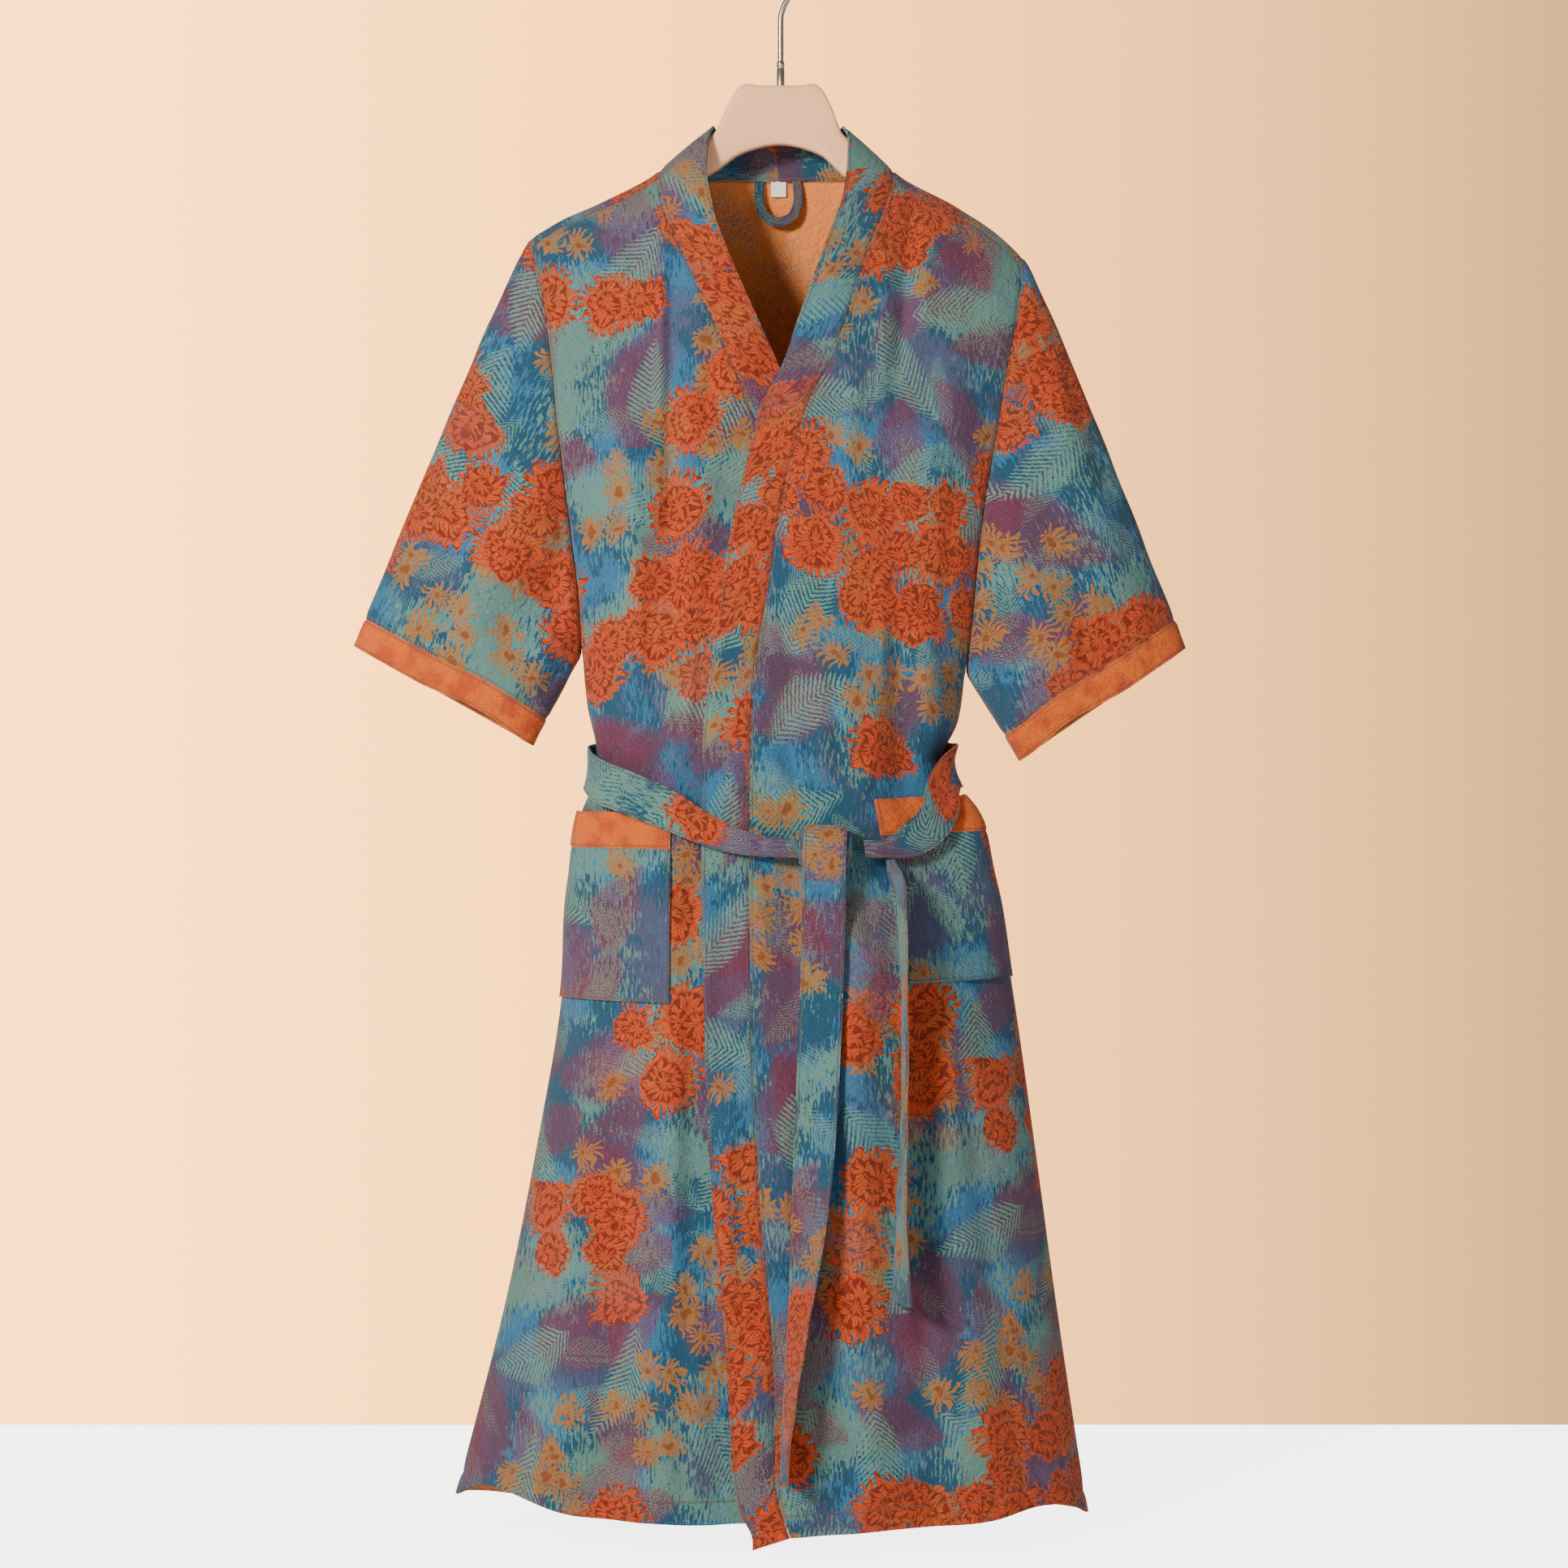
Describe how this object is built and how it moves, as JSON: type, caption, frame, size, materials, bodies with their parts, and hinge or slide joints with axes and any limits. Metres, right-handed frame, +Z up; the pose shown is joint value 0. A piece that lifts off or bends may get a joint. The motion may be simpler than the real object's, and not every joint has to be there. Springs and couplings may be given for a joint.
{
  "type": "kimono bathrobe on a hanger",
  "caption": "Calf-length kimono bathrobe with wrapped banded front, wide elbow sleeves, patch pockets and a tied belt, hung on a broad moulded hanger with a wire hook.",
  "frame": {"origin": "inside top of the hanger's hook, where a rail or peg carries it", "axes": "+Z up, -Y the front of the robe, +X the right of someone who faces the front"},
  "size_m": [0.711, 0.2463, 1.3579],
  "materials": {
    "printed_gauze": "matte woven cotton with a botanical pattern",
    "orange_gauze": "matte woven cotton, reverse side of the cloth",
    "white_tape": "matte woven tape",
    "hanger_plastic": "satin moulded plastic",
    "hook_steel": "polished wire"
  },
  "bodies": {
    "root": {"back_panel": "printed_gauze", "front_left": "printed_gauze", "front_right": "printed_gauze", "collar_left": "printed_gauze", "collar_right": "printed_gauze", "sleeve_left": "printed_gauze", "sleeve_right": "printed_gauze", "cuff_left": "orange_gauze", "cuff_right": "orange_gauze", "pocket_left": "printed_gauze", "pocket_right": "printed_gauze", "pocket_band_left": "orange_gauze", "pocket_band_right": "orange_gauze", "belt": "printed_gauze", "belt_knot": "printed_gauze", "belt_tail_long": "printed_gauze", "belt_tail_short": "printed_gauze", "hanging_loop": "printed_gauze", "size_label": "white_tape", "hanger": "hanger_plastic", "hook": "hook_steel", "hook_ferrule": "hook_steel"}
  },
  "joints": []
}
